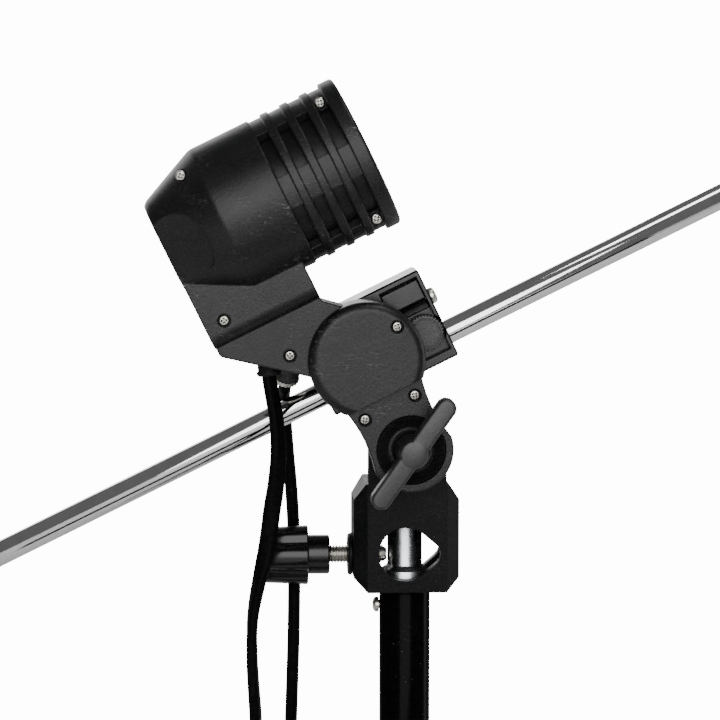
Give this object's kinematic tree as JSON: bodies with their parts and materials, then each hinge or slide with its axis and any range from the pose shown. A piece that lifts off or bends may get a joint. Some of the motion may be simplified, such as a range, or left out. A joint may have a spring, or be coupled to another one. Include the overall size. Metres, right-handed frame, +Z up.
{
  "type": "studio lamp holder",
  "caption": "Vented lamp holder head on a tilting arm with a clamp for an accessory rod, on a bracket that sits on the spigot of a light stand's top tube, with two leads.",
  "frame": {"origin": "centre of the flat lower face of the bush that closes the stand tube", "axes": "+Z up along the tube and the pan axis; +Y away from the side that carries the wing handle; +X towards the side that the lamp points to"},
  "size_m": [0.2933, 0.0674, 0.3526],
  "materials": {
    "black_abs": "textured black ABS",
    "gloss_black": "gloss black",
    "satin_metal": "satin black",
    "tube_enamel": "gloss black enamel",
    "chrome": "bright chrome",
    "zinc": "zinc plated",
    "turned_steel": "turned bright",
    "brass": "plain",
    "ceramic": "glazed",
    "pvc": "satin black",
    "rubber": "matte",
    "grey_plastic": "dark grey",
    "webbing": "woven black"
  },
  "bodies": {
    "stand": {"stand_tube": "tube_enamel", "tube_end_bush": "gloss_black", "spigot": "turned_steel", "spigot_screw": "zinc"},
    "bracket": {"adapter_bracket": "satin_metal", "threaded_insert": "satin_metal", "pivot_bolt": "zinc", "lead_a": "pvc", "lead_a_tail": "pvc", "lead_a_coil": "pvc", "coil_tie": "webbing", "plug_body": "pvc", "plug_pin_1": "brass", "plug_pin_2": "brass", "lead_b": "pvc", "switch_base": "gloss_black", "switch_cover": "gloss_black"},
    "clamp_screw_slide": {"clamp_screw": "zinc"},
    "clamp_knob_turn": {"clamp_knob": "gloss_black"},
    "washer": {"handle_washer": "zinc"},
    "handle": {"wing_handle": "black_abs"},
    "head": {"casing_near": "black_abs", "casing_far": "black_abs", "casing_screw_1": "zinc", "casing_screw_2": "zinc", "casing_screw_3": "zinc", "casing_screw_4": "zinc", "casing_screw_5": "zinc", "casing_screw_6": "zinc", "casing_screw_7": "zinc", "casing_screw_8": "zinc", "friction_ring": "black_abs", "socket_liner": "black_abs", "socket_body": "ceramic", "lamp_shell": "brass", "centre_contact": "brass", "terminal_screw_1": "brass", "terminal_screw_2": "brass", "clamp_channel": "gloss_black", "clamp_bar": "gloss_black", "clamp_end_screw": "zinc", "channel_screw_1": "zinc", "channel_screw_2": "zinc", "lead_bushing": "rubber", "lead_gland": "grey_plastic", "gland_nut": "zinc"},
    "jaw": {"clamp_jaw": "grey_plastic"},
    "thumb": {"thumb_screw": "gloss_black"},
    "rod": {"accessory_rod": "chrome", "rod_cap_left": "rubber", "rod_cap_right": "rubber"},
    "rocker": {"switch_rocker": "grey_plastic"}
  },
  "joints": [
    {"name": "bracket_pan", "type": "hinge", "parent": "stand", "child": "bracket", "pos_m": [0, 0, 0.185], "axis": [0, 0, 1], "continuous": true},
    {"name": "clamp_travel", "type": "slide", "parent": "bracket", "child": "clamp_screw_slide", "axis": [-1, 0, 0], "range_m": [0, 0.00325]},
    {"name": "clamp_turn", "type": "hinge", "parent": "clamp_screw_slide", "child": "clamp_knob_turn", "pos_m": [0, 0, 0.196], "axis": [-1, 0, 0], "range_deg": [0, 1170]},
    {"name": "head_tilt", "type": "hinge", "parent": "bracket", "child": "head", "pos_m": [0, -0.0213, 0.2343], "axis": [0, -1, 0], "range_deg": [-85, 24], "deforming": ["lead_a", "lead_b"]},
    {"name": "handle_travel", "type": "slide", "parent": "bracket", "child": "washer", "axis": [0, -1, 0], "range_m": [0, 0.00125]},
    {"name": "handle_turn", "type": "hinge", "parent": "washer", "child": "handle", "pos_m": [0, -0.0213, 0.2343], "axis": [0, -1, 0], "range_deg": [0, 450]},
    {"name": "jaw_travel", "type": "slide", "parent": "head", "child": "jaw", "axis": [0, -1, 0], "range_m": [0, 0.0014]},
    {"name": "thumb_turn", "type": "hinge", "parent": "jaw", "child": "thumb", "pos_m": [0.0059, -0.0125, 0.27039], "axis": [0, -1, 0], "range_deg": [0, 630]},
    {"name": "rod_slide", "type": "slide", "parent": "head", "child": "rod", "axis": [0.8976, 0, 0.4407], "range_m": [-0.09, 0.09]},
    {"name": "switch_toggle", "type": "hinge", "parent": "bracket", "child": "rocker", "pos_m": [-0.0377, 0.0101, 0.047], "axis": [1, 0, 0], "range_deg": [-14, 0]}
  ],
  "couplings": [
    {"joint": "clamp_turn", "follows": "clamp_travel", "rad_per_m": 6283.2},
    {"joint": "handle_turn", "follows": "handle_travel", "rad_per_m": 6283.2},
    {"joint": "thumb_turn", "follows": "jaw_travel", "rad_per_m": 7854}
  ]
}
